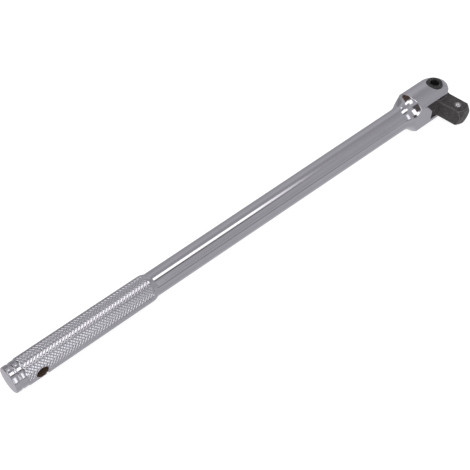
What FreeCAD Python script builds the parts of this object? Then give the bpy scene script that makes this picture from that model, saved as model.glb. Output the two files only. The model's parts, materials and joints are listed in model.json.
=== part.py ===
import FreeCAD, Part
import math
import os

# Half-inch breaker bar with a flex head: a one-piece chromed handle whose forked end carries a black square
# drive on a socket-head pivot screw. A sprung ball in the square holds a socket on, and a second sprung ball
# behind the hub holds the drive at the angle it is left at.
#
# Lengths are in millimetres. Everything is first built in the tool's own frame: the origin is the middle of
# the pivot, +X runs along the handle towards the tip of the fork, and +Z runs along the pivot screw towards
# its socket head. The drive is built straight, along +X, and then swung to its rest angle. The last step
# lays the whole tool on a bench, with the middle of its footprint at the origin and +Z up.

Vector = FreeCAD.Vector
ORIGIN = Vector(0, 0, 0)
X_AXIS = Vector(1, 0, 0)
Y_AXIS = Vector(0, 1, 0)
Z_AXIS = Vector(0, 0, 1)

# Handle: grip
HANDLE_LENGTH = 357.8           # from the pivot to the flat end of the grip
GRIP_RADIUS = 8.95              # over the crests of the knurl
BAND_RADIUS = 8.5               # smooth band at the end of the grip
BAND_LENGTH = 8.4
END_CHAMFER = 0.8
GROOVE_FROM_END = 4.3           # middle of the turned groove in the band
GROOVE_WIDTH = 1.25
GROOVE_DEPTH = 0.35
KNURL_LENGTH = 89.0
HANG_HOLE_RADIUS = 3.95
HANG_HOLE_FROM_END = 17.8
HANG_HOLE_CHAMFER = 0.3

# Handle: neck and shank
NECK_LENGTH = 4.4
SHANK_SMALL_RADIUS = 7.85       # beside the grip
SHANK_LARGE_RADIUS = 8.4        # beside the fork

# Handle: fork
FORK_RADIUS = 14.4              # round outside of the ears
FLARE_START_X = -36.6
FLARE_RIM_X = -24.4
FORK_HALF_WIDTH = 10.35         # to the side flats, and the radius of the round end of each ear
DOME_START_X = -2.0             # the ears' outside is domed from here to their tips
DOME_RADIUS = 22.0
EAR_END_X = 0.6                 # middle of the round end of each ear
SLOT_WIDTH = 14.2
SLOT_FLOOR_X = -11.8
SLOT_CUTTER_RADIUS = 35.0       # the slot's floor is as concave as the disc cutter that made it

# Pivot screw
SCREW_HEAD_RADIUS = 5.75
SCREW_HEAD_TOP_Z = 14.3
SCREW_HEAD_SEAT_Z = 8.4
SCREW_CHAMFER = 0.45
JOURNAL_RADIUS = 4.5
THREAD_RADIUS = 4.0
THREAD_END_Z = -13.3
HEX_ACROSS_FLATS = 6.0
HEX_DEPTH = 4.2
DRILL_POINT_DEPTH = 1.0
HEAD_CLEARANCE = 0.08
RUNNING_CLEARANCE = 0.06
THREAD_CLEARANCE = 0.02

# Drive head
SQUARE_ACROSS_FLATS = 12.65
SQUARE_EDGE_CHAMFER = 0.6
HUB_RADIUS = 11.0
HUB_THICKNESS = 13.9
HUB_CHAMFER = 0.35
SHOULDER_FILLET = 3.0           # between the round hub and the sides of the square
DRIVE_LENGTH = 28.5             # from the pivot to the end face
TURNED_END_LENGTH = 3.4         # the corners of the square are turned off over this length
END_FACE_RADIUS = 5.6
DRIVE_REST_ANGLE = 82.0         # swing from straight to the rest position

# Detent ball in the square, and its spring
DETENT_BALL_RADIUS = 2.5
DETENT_BALL_FROM_PIVOT = 21.0
DETENT_BALL_SHOWS = 1.3         # height of the ball above the flat
DETENT_BORE_RADIUS = 2.58
DETENT_BORE_DEPTH = 9.8
DETENT_LIP_RADIUS = 2.27        # the staked edge that keeps the ball in
DETENT_LIP_DEPTH = 0.9
DETENT_SPRING_RADIUS = 1.75
DETENT_WIRE_RADIUS = 0.25
DETENT_SPRING_TURNS = 5

# Friction ball behind the hub, and its spring
FRICTION_BALL_RADIUS = 3.0
FRICTION_BORE_RADIUS = 3.08
FRICTION_BORE_END_X = -29.0
RACEWAY_DEPTH = 0.5             # groove round the hub that the friction ball runs in
RACEWAY_RADIUS = 3.3
RACEWAY_GAP = 0.06
FRICTION_SPRING_RADIUS = 2.35
FRICTION_WIRE_RADIUS = 0.4
FRICTION_SPRING_TURNS = 6

CONTACT_GAP = 0.03              # left between a spring and what it pushes on
CUT_MARGIN = 5.0                # how far a cutting tool runs past the surface it leaves

# Derived places
GRIP_END_X = -HANDLE_LENGTH
KNURL_START_X = GRIP_END_X + BAND_LENGTH
KNURL_END_X = KNURL_START_X + KNURL_LENGTH
SHANK_START_X = KNURL_END_X + NECK_LENGTH
HANG_HOLE_X = GRIP_END_X + HANG_HOLE_FROM_END
HALF_SQUARE = SQUARE_ACROSS_FLATS / 2
HALF_HUB = HUB_THICKNESS / 2
HALF_SLOT = SLOT_WIDTH / 2
DETENT_BALL_Z = HALF_SQUARE + DETENT_BALL_SHOWS - DETENT_BALL_RADIUS
FRICTION_BALL_X = RACEWAY_DEPTH - HUB_RADIUS - FRICTION_BALL_RADIUS - RACEWAY_GAP


def line(start, end):
    """A straight edge between two (x, z) points of a half section."""
    return Part.LineSegment(Vector(start[0], 0, start[1]), Vector(end[0], 0, end[1])).toShape()


def arc(start, middle, end):
    """A round edge through three (x, z) points of a half section."""
    points = [Vector(x, 0, z) for x, z in (start, middle, end)]
    return Part.Arc(*points).toShape()


def turned(edges, axis=X_AXIS):
    """The solid that a closed half section in the XZ plane sweeps when it turns about an axis."""
    return Part.Face(Part.Wire(edges)).revolve(ORIGIN, axis, 360)


def turned_polygon(points, axis=X_AXIS):
    """A turned solid whose half section has straight sides only."""
    closed = points + points[:1]
    return turned([line(a, b) for a, b in zip(closed, closed[1:])], axis)


def rod(radius, start, end):
    """A cylinder from one point to another."""
    along = end.sub(start)
    return Part.makeCylinder(radius, along.Length, start, along)


def cone_along(start_radius, end_radius, start, end):
    """A cone or tapered plug from one point to another."""
    along = end.sub(start)
    return Part.makeCone(start_radius, end_radius, along.Length, start, along)


def coil_spring(mean_radius, wire_radius, turns, start, end):
    """A round-wire spring whose wire fills the length from start to end."""
    along = end.sub(start)
    height = along.Length - 2 * wire_radius
    helix = Part.makeHelix(height / turns, height, mean_radius)
    section = Part.Wire(Part.makeCircle(wire_radius, Vector(mean_radius, 0, 0), Y_AXIS))
    spring = Part.Wire(helix.Edges).makePipeShell([section], True, True)
    lift = along.normalize().multiply(wire_radius)
    spring.Placement = FreeCAD.Placement(start.add(lift), FreeCAD.Rotation(Z_AXIS, along))
    return spring


def hang_hole_cutter():
    """The cross hole through the grip, with its two chamfers."""
    reach = GRIP_RADIUS + CUT_MARGIN
    cutter = rod(HANG_HOLE_RADIUS, Vector(HANG_HOLE_X, -reach, 0), Vector(HANG_HOLE_X, reach, 0))
    mouth = math.sqrt(GRIP_RADIUS ** 2 - HANG_HOLE_RADIUS ** 2)
    outer_radius = HANG_HOLE_RADIUS + HANG_HOLE_CHAMFER + CUT_MARGIN
    for side in (-1, 1):
        inner = Vector(HANG_HOLE_X, side * (mouth - HANG_HOLE_CHAMFER), 0)
        outer = Vector(HANG_HOLE_X, side * (mouth + CUT_MARGIN), 0)
        cutter = cutter.fuse(cone_along(HANG_HOLE_RADIUS, outer_radius, inner, outer))
    return cutter


def handle_grip():
    """The knurled grip with its grooved end band, up to the start of the shank."""
    groove_start = GRIP_END_X + GROOVE_FROM_END - GROOVE_WIDTH / 2
    groove_end = groove_start + GROOVE_WIDTH
    crest_step = GRIP_RADIUS - BAND_RADIUS
    body = turned_polygon([
        (GRIP_END_X, 0),
        (GRIP_END_X, BAND_RADIUS - END_CHAMFER),
        (GRIP_END_X + END_CHAMFER, BAND_RADIUS),
        (groove_start - GROOVE_DEPTH / 2, BAND_RADIUS),
        (groove_start + GROOVE_DEPTH / 2, BAND_RADIUS - GROOVE_DEPTH),
        (groove_end - GROOVE_DEPTH / 2, BAND_RADIUS - GROOVE_DEPTH),
        (groove_end + GROOVE_DEPTH / 2, BAND_RADIUS),
        (KNURL_START_X - crest_step, BAND_RADIUS),
        (KNURL_START_X, GRIP_RADIUS),
        (KNURL_END_X, GRIP_RADIUS),
        (SHANK_START_X, SHANK_SMALL_RADIUS),
        (SHANK_START_X, 0),
    ])
    return body.cut(hang_hole_cutter())


def handle_shank():
    """The tapered shank between the grip and the flare of the fork."""
    return turned_polygon([
        (SHANK_START_X, 0),
        (SHANK_START_X, SHANK_SMALL_RADIUS),
        (FLARE_START_X, SHANK_LARGE_RADIUS),
        (FLARE_START_X, 0),
    ])


def fork_blank():
    """The flared and domed round head of the handle, before it is milled."""
    rise = FORK_RADIUS - SHANK_LARGE_RADIUS
    run = FLARE_RIM_X - FLARE_START_X
    flare_radius = (run ** 2 + rise ** 2) / (2 * rise)
    half_turn = math.asin(run / flare_radius) / 2
    flare_middle = (FLARE_START_X + flare_radius * math.sin(half_turn),
                    SHANK_LARGE_RADIUS + flare_radius * (1 - math.cos(half_turn)))
    dome_sink = DOME_RADIUS - FORK_RADIUS
    half_dome = math.acos(dome_sink / DOME_RADIUS) / 2
    dome_middle = (DOME_START_X + DOME_RADIUS * math.sin(half_dome),
                   DOME_RADIUS * math.cos(half_dome) - dome_sink)
    dome_tip = (DOME_START_X + DOME_RADIUS * math.sin(2 * half_dome), 0)
    return turned([
        line((FLARE_START_X, 0), (FLARE_START_X, SHANK_LARGE_RADIUS)),
        arc((FLARE_START_X, SHANK_LARGE_RADIUS), flare_middle, (FLARE_RIM_X, FORK_RADIUS)),
        line((FLARE_RIM_X, FORK_RADIUS), (DOME_START_X, FORK_RADIUS)),
        arc((DOME_START_X, FORK_RADIUS), dome_middle, dome_tip),
        line(dome_tip, (FLARE_START_X, 0)),
    ])


def fork_plan():
    """The outline that both ears share seen along the pivot: two side flats and a full-radius end."""
    height = 2 * (FORK_RADIUS + CUT_MARGIN)
    corner = Vector(FLARE_START_X, -FORK_HALF_WIDTH, -height / 2)
    flats = Part.makeBox(EAR_END_X - FLARE_START_X, 2 * FORK_HALF_WIDTH, height, corner)
    end = rod(FORK_HALF_WIDTH, Vector(EAR_END_X, 0, -height / 2), Vector(EAR_END_X, 0, height / 2))
    return flats.fuse(end)


def fork_cutters():
    """Everything that is cut from the fork: the slot, the screw's stepped hole and the friction ball's bore."""
    above = FORK_RADIUS + CUT_MARGIN
    slot_centre_x = SLOT_FLOOR_X + SLOT_CUTTER_RADIUS
    slot = rod(SLOT_CUTTER_RADIUS, Vector(slot_centre_x, 0, -HALF_SLOT), Vector(slot_centre_x, 0, HALF_SLOT))
    head_hole = rod(SCREW_HEAD_RADIUS + HEAD_CLEARANCE, Vector(0, 0, SCREW_HEAD_SEAT_Z), Vector(0, 0, above))
    journal_hole = rod(JOURNAL_RADIUS + RUNNING_CLEARANCE, ORIGIN, Vector(0, 0, SCREW_HEAD_SEAT_Z))
    tapped_hole = rod(THREAD_RADIUS + THREAD_CLEARANCE, Vector(0, 0, -above), ORIGIN)
    ball_bore = rod(FRICTION_BORE_RADIUS, Vector(FRICTION_BORE_END_X, 0, 0), ORIGIN)
    return [slot, head_hole, journal_hole, tapped_hole, ball_bore]


def handle_fork():
    """The forked head of the handle."""
    fork = fork_blank().common(fork_plan())
    for cutter in fork_cutters():
        fork = fork.cut(cutter)
    return fork.removeSplitter()


def hexagon_prism(across_flats, bottom_z, top_z):
    """A hexagonal prism about the Z axis."""
    corner_radius = across_flats / math.sqrt(3)
    angles = [math.radians(60 * n) for n in range(7)]
    corners = [Vector(corner_radius * math.cos(a), corner_radius * math.sin(a), bottom_z) for a in angles]
    return Part.Face(Part.makePolygon(corners)).extrude(Vector(0, 0, top_z - bottom_z))


def pivot_screw():
    """The socket-head screw: head in the near ear, plain journal through the hub, thread in the far ear."""
    body = turned_polygon([
        (0, THREAD_END_Z),
        (THREAD_RADIUS - SCREW_CHAMFER, THREAD_END_Z),
        (THREAD_RADIUS, THREAD_END_Z + SCREW_CHAMFER),
        (THREAD_RADIUS, -HALF_SLOT),
        (JOURNAL_RADIUS, -HALF_SLOT),
        (JOURNAL_RADIUS, SCREW_HEAD_SEAT_Z),
        (SCREW_HEAD_RADIUS, SCREW_HEAD_SEAT_Z),
        (SCREW_HEAD_RADIUS, SCREW_HEAD_TOP_Z - SCREW_CHAMFER),
        (SCREW_HEAD_RADIUS - SCREW_CHAMFER, SCREW_HEAD_TOP_Z),
        (0, SCREW_HEAD_TOP_Z),
    ], Z_AXIS)
    hex_bottom_z = SCREW_HEAD_TOP_Z - HEX_DEPTH
    socket = hexagon_prism(HEX_ACROSS_FLATS, hex_bottom_z, SCREW_HEAD_TOP_Z + CUT_MARGIN)
    point_start = Vector(0, 0, hex_bottom_z)
    point_end = Vector(0, 0, hex_bottom_z - DRILL_POINT_DEPTH)
    drill_point = cone_along(HEX_ACROSS_FLATS / 2, 0, point_start, point_end)
    return body.cut(socket).cut(drill_point)


def shoulder_fillets():
    """The two webs that blend the round hub into the sides of the square."""
    centre_y = HALF_SQUARE + SHOULDER_FILLET
    centre_x = math.sqrt((HUB_RADIUS + SHOULDER_FILLET) ** 2 - centre_y ** 2)
    webs = Part.makeBox(centre_x, 2 * centre_y, SQUARE_ACROSS_FLATS, Vector(0, -centre_y, -HALF_SQUARE))
    hub_share = HUB_RADIUS / (HUB_RADIUS + SHOULDER_FILLET)
    webs = webs.common(Part.makeBox(
        centre_x, 2 * centre_y * hub_share, SQUARE_ACROSS_FLATS,
        Vector(0, -centre_y * hub_share, -HALF_SQUARE)))
    for side in (-1, 1):
        bottom = Vector(centre_x, side * centre_y, -HALF_SQUARE)
        top = Vector(centre_x, side * centre_y, HALF_SQUARE)
        webs = webs.cut(rod(SHOULDER_FILLET, bottom, top))
    return webs


def square_shank():
    """The square with its long edges eased and its end turned down to a round face."""
    bar = Part.makeBox(DRIVE_LENGTH, SQUARE_ACROSS_FLATS, SQUARE_ACROSS_FLATS,
                       Vector(0, -HALF_SQUARE, -HALF_SQUARE))
    long_edges = [edge for edge in bar.Edges if abs(edge.Length - DRIVE_LENGTH) < CONTACT_GAP]
    bar = bar.makeChamfer(SQUARE_EDGE_CHAMFER, long_edges)
    corner_radius = HALF_SQUARE * math.sqrt(2)
    turn_start_x = DRIVE_LENGTH - TURNED_END_LENGTH
    envelope = turned_polygon([
        (0, 0),
        (0, corner_radius),
        (turn_start_x, corner_radius),
        (DRIVE_LENGTH, END_FACE_RADIUS),
        (DRIVE_LENGTH, 0),
    ])
    return bar.common(envelope)


def hub():
    """The round hub that turns between the ears."""
    return turned_polygon([
        (0, -HALF_HUB),
        (HUB_RADIUS - HUB_CHAMFER, -HALF_HUB),
        (HUB_RADIUS, -HALF_HUB + HUB_CHAMFER),
        (HUB_RADIUS, HALF_HUB - HUB_CHAMFER),
        (HUB_RADIUS - HUB_CHAMFER, HALF_HUB),
        (0, HALF_HUB),
    ], Z_AXIS)


def detent_bore_cutter():
    """The blind bore of the detent ball, with the staked lip left at its mouth."""
    centre_x = DETENT_BALL_FROM_PIVOT
    lip_bottom = Vector(centre_x, 0, HALF_SQUARE - DETENT_LIP_DEPTH)
    mouth = Vector(centre_x, 0, HALF_SQUARE)
    bore = rod(DETENT_BORE_RADIUS, Vector(centre_x, 0, HALF_SQUARE - DETENT_BORE_DEPTH), lip_bottom)
    lip = cone_along(DETENT_BORE_RADIUS, DETENT_LIP_RADIUS, lip_bottom, mouth)
    return bore.fuse(lip)


def drive_head():
    """The black drive: hub and square in one piece, with the pivot bore, raceway and detent bore."""
    body = hub().fuse(shoulder_fillets()).fuse(square_shank())
    journal_bore = rod(JOURNAL_RADIUS + RUNNING_CLEARANCE,
                       Vector(0, 0, -HALF_HUB - CUT_MARGIN), Vector(0, 0, HALF_HUB + CUT_MARGIN))
    raceway = Part.makeTorus(HUB_RADIUS - RACEWAY_DEPTH + RACEWAY_RADIUS, RACEWAY_RADIUS)
    raceway = raceway.cut(square_shank()).cut(shoulder_fillets())
    return body.cut(journal_bore).cut(raceway).cut(detent_bore_cutter()).removeSplitter()


def detent_ball():
    """The ball that stands out of the square's flat."""
    return Part.makeSphere(DETENT_BALL_RADIUS, Vector(DETENT_BALL_FROM_PIVOT, 0, DETENT_BALL_Z))


def spring_seat_depth(ball_radius, spring_radius, wire_radius):
    """How far below the middle of its ball a spring's topmost wire has to end."""
    reach = ball_radius + wire_radius + CONTACT_GAP
    return math.sqrt(reach ** 2 - spring_radius ** 2) - wire_radius


def detent_spring():
    """The spring under the detent ball."""
    seat = spring_seat_depth(DETENT_BALL_RADIUS, DETENT_SPRING_RADIUS, DETENT_WIRE_RADIUS)
    bottom = Vector(DETENT_BALL_FROM_PIVOT, 0, HALF_SQUARE - DETENT_BORE_DEPTH + CONTACT_GAP)
    top = Vector(DETENT_BALL_FROM_PIVOT, 0, DETENT_BALL_Z - seat)
    return coil_spring(DETENT_SPRING_RADIUS, DETENT_WIRE_RADIUS, DETENT_SPRING_TURNS, bottom, top)


def friction_ball():
    """The ball that presses on the raceway of the hub."""
    return Part.makeSphere(FRICTION_BALL_RADIUS, Vector(FRICTION_BALL_X, 0, 0))


def friction_spring():
    """The spring behind the friction ball."""
    seat = spring_seat_depth(FRICTION_BALL_RADIUS, FRICTION_SPRING_RADIUS, FRICTION_WIRE_RADIUS)
    back = Vector(FRICTION_BORE_END_X + CONTACT_GAP, 0, 0)
    front = Vector(FRICTION_BALL_X - seat, 0, 0)
    return coil_spring(FRICTION_SPRING_RADIUS, FRICTION_WIRE_RADIUS, FRICTION_SPRING_TURNS, back, front)


def bench_rotation():
    """How the tool lies on a bench: on the end of the knurl, the rim of the fork and the end of the drive."""
    rise = FORK_RADIUS - GRIP_RADIUS
    pitch = math.atan(rise / (FLARE_RIM_X - KNURL_START_X))
    corner_radius = HALF_SQUARE * math.sqrt(2)
    turned_share = (corner_radius - HALF_SQUARE) / (corner_radius - END_FACE_RADIUS)
    touch_from_pivot = DRIVE_LENGTH - TURNED_END_LENGTH * (1 - turned_share)
    swing = math.radians(DRIVE_REST_ANGLE)
    touch_x = touch_from_pivot * math.cos(swing)
    touch_out = touch_from_pivot * math.sin(swing)
    drop = FORK_RADIUS + (touch_x - FLARE_RIM_X) * math.tan(pitch)
    roll = math.asin(drop / math.hypot(touch_out, HALF_SQUARE)) - math.atan2(HALF_SQUARE, touch_out)
    roll_turn = FreeCAD.Rotation(X_AXIS, math.degrees(roll))
    pitch_turn = FreeCAD.Rotation(Y_AXIS, -math.degrees(pitch))
    return pitch_turn.multiply(roll_turn)


def bench_placement(shapes):
    """The placement that lays the tool on the bench with the middle of its footprint at the origin."""
    rotation = bench_rotation()
    whole = Part.makeCompound(shapes)
    whole.Placement = FreeCAD.Placement(ORIGIN, rotation)
    box = whole.optimalBoundingBox(False, False)
    middle = Vector((box.XMin + box.XMax) / 2, (box.YMin + box.YMax) / 2, box.ZMin)
    return FreeCAD.Placement(middle.negative(), rotation)


def placed(shape, placement):
    """A copy of a shape moved by one more placement."""
    moved = shape.copy()
    moved.Placement = placement.multiply(shape.Placement)
    return moved


def text_of(vector, scale=1.0):
    """A vector as three rounded numbers."""
    return [round(value * scale, 6) for value in (vector.x, vector.y, vector.z)]


def main():
    fixed = {
        "handle_grip": handle_grip(),
        "handle_shank": handle_shank(),
        "handle_fork": handle_fork(),
        "pivot_screw": pivot_screw(),
        "friction_ball": friction_ball(),
        "friction_spring": friction_spring(),
    }
    straight = {
        "drive_head": drive_head(),
        "detent_ball": detent_ball(),
        "detent_spring": detent_spring(),
    }
    swing = FreeCAD.Placement(ORIGIN, FreeCAD.Rotation(Z_AXIS, -DRIVE_REST_ANGLE))
    swung = {node: placed(shape, swing) for node, shape in straight.items()}
    nodes = {**fixed, **swung}
    bench = bench_placement(list(nodes.values()))
    os.makedirs("parts", exist_ok=True)
    for node, shape in nodes.items():
        result = placed(shape, bench)
        result.exportStep("parts/" + node + ".step")
        print(node, result.isValid(), len(result.Solids), round(result.Volume, 1), "mm3")
    drive = bench.multiply(swing)
    millimetre = 0.001
    places = {
        "pivot": bench.multVec(ORIGIN),
        "hang_hole": bench.multVec(Vector(HANG_HOLE_X, 0, 0)),
        "drive_end": drive.multVec(Vector(DRIVE_LENGTH, 0, 0)),
        "detent_spring_foot": drive.multVec(Vector(DETENT_BALL_FROM_PIVOT, 0, HALF_SQUARE - DETENT_BORE_DEPTH)),
        "friction_spring_foot": bench.multVec(Vector(FRICTION_BORE_END_X, 0, 0)),
    }
    axes = {
        "handle_axis": bench.Rotation.multVec(X_AXIS),
        "hang_hole_axis": bench.Rotation.multVec(Y_AXIS.negative()),
        "pivot_axis": bench.Rotation.multVec(Z_AXIS),
        "drive_axis": drive.Rotation.multVec(X_AXIS),
    }
    for name, point in places.items():
        print(name, text_of(point, millimetre), "m")
    for name, direction in axes.items():
        print(name, text_of(direction))


main()
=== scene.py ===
"""Half-inch breaker bar with a flex head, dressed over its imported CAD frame.

The pieces are modelled in millimetres in the tool's own frame: the origin is the middle of the pivot, +X runs
along the handle towards the tip of the fork and +Z runs along the pivot screw towards its socket head. The
drive is modelled straight, along +X. Each finished piece is then laid where the frame's joints say.
"""

import json
import math

import bmesh
import bpy
from mathutils import Matrix, Vector


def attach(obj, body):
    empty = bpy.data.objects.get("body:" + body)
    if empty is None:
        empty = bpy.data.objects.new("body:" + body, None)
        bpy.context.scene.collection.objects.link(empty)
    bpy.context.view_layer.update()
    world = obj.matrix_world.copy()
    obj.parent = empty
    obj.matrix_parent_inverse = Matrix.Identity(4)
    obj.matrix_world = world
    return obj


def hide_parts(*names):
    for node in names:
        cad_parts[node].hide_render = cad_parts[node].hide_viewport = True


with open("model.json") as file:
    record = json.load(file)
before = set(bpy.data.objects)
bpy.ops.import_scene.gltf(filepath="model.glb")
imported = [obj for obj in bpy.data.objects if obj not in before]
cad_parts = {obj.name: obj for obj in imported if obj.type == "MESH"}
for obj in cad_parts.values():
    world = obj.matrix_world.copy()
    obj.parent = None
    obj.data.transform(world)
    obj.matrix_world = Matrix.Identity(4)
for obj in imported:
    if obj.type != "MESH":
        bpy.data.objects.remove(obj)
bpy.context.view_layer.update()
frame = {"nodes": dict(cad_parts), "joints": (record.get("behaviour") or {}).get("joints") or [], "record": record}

# ---------------------------------------------------------------- sizes, in millimetres

STEPS = 192                     # steps round a turned piece

GRIP_END_X = -357.8
BAND_LENGTH = 8.4
BAND_RADIUS = 8.5
GROOVE_FROM_END = 4.3
GROOVE_WIDTH = 1.25
GROOVE_DEPTH = 0.35
KNURL_START_X = GRIP_END_X + BAND_LENGTH
KNURL_LENGTH = 89.0
KNURL_END_X = KNURL_START_X + KNURL_LENGTH
KNURL_ROUND = 24                # diamonds round the grip
KNURL_ROWS = 41                 # diamonds along the grip
GRIP_RADIUS = 8.93              # over the crests
KNURL_STEPS = [                 # inward and upward: groove floor, flank, eased shoulder, crest
    (0.04, 0.02), (0.16, 0.17), (0.08, 0.04), (0.10, 0.01)]
KNURL_DEPTH = 0.24              # all the upward steps together
KNURL_SEAM = 0.02               # points this close to each other are one point
NECK_LENGTH = 4.4
SHANK_START_X = KNURL_END_X + NECK_LENGTH
HANG_HOLE_X = GRIP_END_X + 17.8
HANG_HOLE_RADIUS = 3.95
HANG_HOLE_MOUTH = 7.73          # where its countersinks start, across the grip

SHANK_SMALL_RADIUS = 7.85
SHANK_LARGE_RADIUS = 8.4
FLARE_START_X = -36.6
FLARE_RIM_X = -24.4
FORK_SEAM_X = FLARE_START_X - 3.0
FORK_RADIUS = 14.39
FORK_HALF_WIDTH = 10.34
DOME_START_X = -2.0
DOME_RADIUS = 22.0
EAR_END_X = 0.6
HALF_SLOT = 7.1
SLOT_FLOOR_X = -11.8
SLOT_CUTTER_RADIUS = 35.0
FRICTION_BORE_RADIUS = 3.08
FRICTION_BORE_END_X = -29.0

SCREW_HEAD_RADIUS = 5.75
SCREW_HEAD_TOP_Z = 14.3
SCREW_HEAD_SEAT_Z = 8.4
HEAD_HOLE_RADIUS = 5.83
JOURNAL_RADIUS = 4.5
JOURNAL_HOLE_RADIUS = 4.56
THREAD_RADIUS = 4.0
TAPPED_HOLE_RADIUS = 4.02
THREAD_END_Z = -13.3
HEX_ACROSS_FLATS = 6.0
HEX_DEPTH = 4.2

HALF_SQUARE = 6.325
SQUARE_EDGE = 0.6
HUB_RADIUS = 11.0
HALF_HUB = 6.95
HUB_EDGE = 0.35
SHOULDER_FILLET = 3.0
DRIVE_LENGTH = 28.5
TURNED_END_LENGTH = 3.4
END_FACE_RADIUS = 5.6
RACEWAY_DEPTH = 0.5
RACEWAY_RADIUS = 3.3
DETENT_FROM_PIVOT = 21.0
DETENT_BORE_RADIUS = 2.58
DETENT_BORE_DEPTH = 9.8
DETENT_LIP_RADIUS = 2.27
DETENT_LIP_DEPTH = 0.9

REACH = 8.0                     # how far a cutting shape runs past what it cuts
POLE = 0.02                     # radius of the tiny disc that closes the end of a turned piece
JOIN = 0.5                      # how far the neck runs into the shank


# ---------------------------------------------------------------- frames from the record

MILLIMETRE = 0.001
joints = {joint["name"]: joint for joint in frame["joints"]}
mounts = {mount["name"]: mount for mount in frame["record"]["mounts"]}


def laid(origin, along, pin):
    """The matrix that takes millimetres in a tool frame to the row frame."""
    along = Vector(along).normalized()
    across = Vector(pin).cross(along).normalized()
    up = along.cross(across)
    turn = Matrix((along, across, up)).transposed().to_4x4()
    return Matrix.Translation(origin) @ turn @ Matrix.Scale(MILLIMETRE, 4)


PIVOT = Vector(joints["drive_swivel"]["pos_m"])
PIN = joints["drive_swivel"]["axis"]
TOOL = laid(PIVOT, joints["friction_ball_press"]["axis"], PIN)
DRIVE = laid(PIVOT, mounts["drive_square"]["axis"], PIN)


# ---------------------------------------------------------------- modelling moves

def clear_selection():
    """Nothing is selected, so that the next move acts on the new piece only."""
    bpy.ops.object.select_all(action="DESELECT")


def take(piece):
    """Selects one piece alone and makes it the active one."""
    clear_selection()
    piece.select_set(True)
    bpy.context.view_layer.objects.active = piece


def name_new(name):
    """Names the primitive just added and sets its place into its mesh."""
    piece = bpy.context.object
    piece.name = name
    piece.data.name = name
    bpy.ops.object.transform_apply()
    return piece


def open_mesh(piece, everything=True):
    """Goes into edit mode on one piece."""
    take(piece)
    bpy.ops.object.mode_set(mode="EDIT")
    bpy.ops.mesh.select_mode(type="VERT")
    bpy.ops.mesh.select_all(action="SELECT" if everything else "DESELECT")


def close_mesh():
    """Leaves edit mode."""
    bpy.ops.object.mode_set(mode="OBJECT")


def pick_points(piece, test):
    """In edit mode, selects the points whose place passes a test."""
    bpy.ops.mesh.select_all(action="DESELECT")
    mesh = bmesh.from_edit_mesh(piece.data)
    for point in mesh.verts:
        if test(point.co):
            point.select = True
    mesh.select_flush_mode()
    bmesh.update_edit_mesh(piece.data)


def pick_faces(piece, test):
    """In edit mode, selects the faces whose middle and normal pass a test."""
    bpy.ops.mesh.select_mode(type="FACE")
    bpy.ops.mesh.select_all(action="DESELECT")
    mesh = bmesh.from_edit_mesh(piece.data)
    for face in mesh.faces:
        if test(face.calc_center_median(), face.normal):
            face.select = True
    bmesh.update_edit_mesh(piece.data)


def disc(name, x, radius, steps=STEPS):
    """A flat disc square to the X axis."""
    clear_selection()
    bpy.ops.mesh.primitive_circle_add(vertices=steps, radius=radius, fill_type="NGON",
                                      location=(x, 0, 0), rotation=(0, math.pi / 2, 0))
    return name_new(name)


def turned(name, stations, steps=STEPS):
    """A turned piece: a disc is drawn out along X, and its edge is opened or closed at each station."""
    x, radius = stations[0]
    piece = disc(name, x, radius, steps)
    open_mesh(piece)
    for next_x, next_radius in stations[1:]:
        bpy.ops.mesh.extrude_region_move(TRANSFORM_OT_translate={"value": (next_x - x, 0, 0)})
        grow = next_radius / radius
        bpy.ops.transform.resize(value=(1, grow, grow), center_override=(next_x, 0, 0))
        x, radius = next_x, next_radius
    bpy.ops.mesh.select_all(action="SELECT")
    bpy.ops.mesh.normals_make_consistent(inside=False)
    close_mesh()
    return piece


def stand_up(piece):
    """Turns a piece drawn out along X so that it stands along Z."""
    piece.rotation_euler = (0, -math.pi / 2, 0)
    take(piece)
    bpy.ops.object.transform_apply()
    return piece


def block(name, low, high):
    """A block between two corners, as a cutting shape or a blank."""
    clear_selection()
    middle = [(a + b) / 2 for a, b in zip(low, high)]
    size = [b - a for a, b in zip(low, high)]
    bpy.ops.mesh.primitive_cube_add(size=1, location=middle, scale=size)
    return name_new(name)


def combine(piece, tool, how):
    """Joins, cuts or trims a piece with another shape, which is used up."""
    take(piece)
    step = piece.modifiers.new(how, "BOOLEAN")
    step.operation = how
    step.solver = "EXACT"
    step.object = tool
    bpy.ops.object.modifier_apply(modifier=step.name)
    bpy.data.objects.remove(tool)
    return piece


def ease(piece, grain, passes):
    """Gives a hard-edged piece an even fine skin that lies on it, and softens its edges as polishing does."""
    take(piece)
    bpy.ops.object.duplicate()
    skin = bpy.context.object
    remesh = skin.modifiers.new("skin", "REMESH")
    remesh.mode = "VOXEL"
    remesh.voxel_size = grain
    bpy.ops.object.modifier_apply(modifier=remesh.name)
    wrap = skin.modifiers.new("wrap", "SHRINKWRAP")
    wrap.target = piece
    wrap.wrap_method = "NEAREST_SURFACEPOINT"
    bpy.ops.object.modifier_apply(modifier=wrap.name)
    soften = skin.modifiers.new("soften", "SMOOTH")
    soften.factor = 0.5
    soften.iterations = passes
    bpy.ops.object.modifier_apply(modifier=soften.name)
    name = piece.name
    bpy.data.objects.remove(piece)
    skin.name = name
    skin.data.name = name
    return skin


def arc(centre, radius, first, last, count):
    """Stations (x, radius) along a round arc; the angles are in degrees from +X towards the outside."""
    stations = []
    for number in range(count + 1):
        angle = math.radians(first + (last - first) * number / count)
        stations.append((centre[0] + radius * math.cos(angle), centre[1] + radius * math.sin(angle)))
    return stations


def finish_piece(piece, place, body, nodes, smooth_angle):
    """Lays a finished piece in the row frame, smooths its shading and hangs it on its body."""
    piece.matrix_world = place
    take(piece)
    bpy.ops.object.transform_apply()
    bpy.ops.object.shade_smooth_by_angle(angle=math.radians(smooth_angle))
    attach(piece, body)
    if nodes:
        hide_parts(*nodes)
    return piece


# ---------------------------------------------------------------- handle: grip

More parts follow.
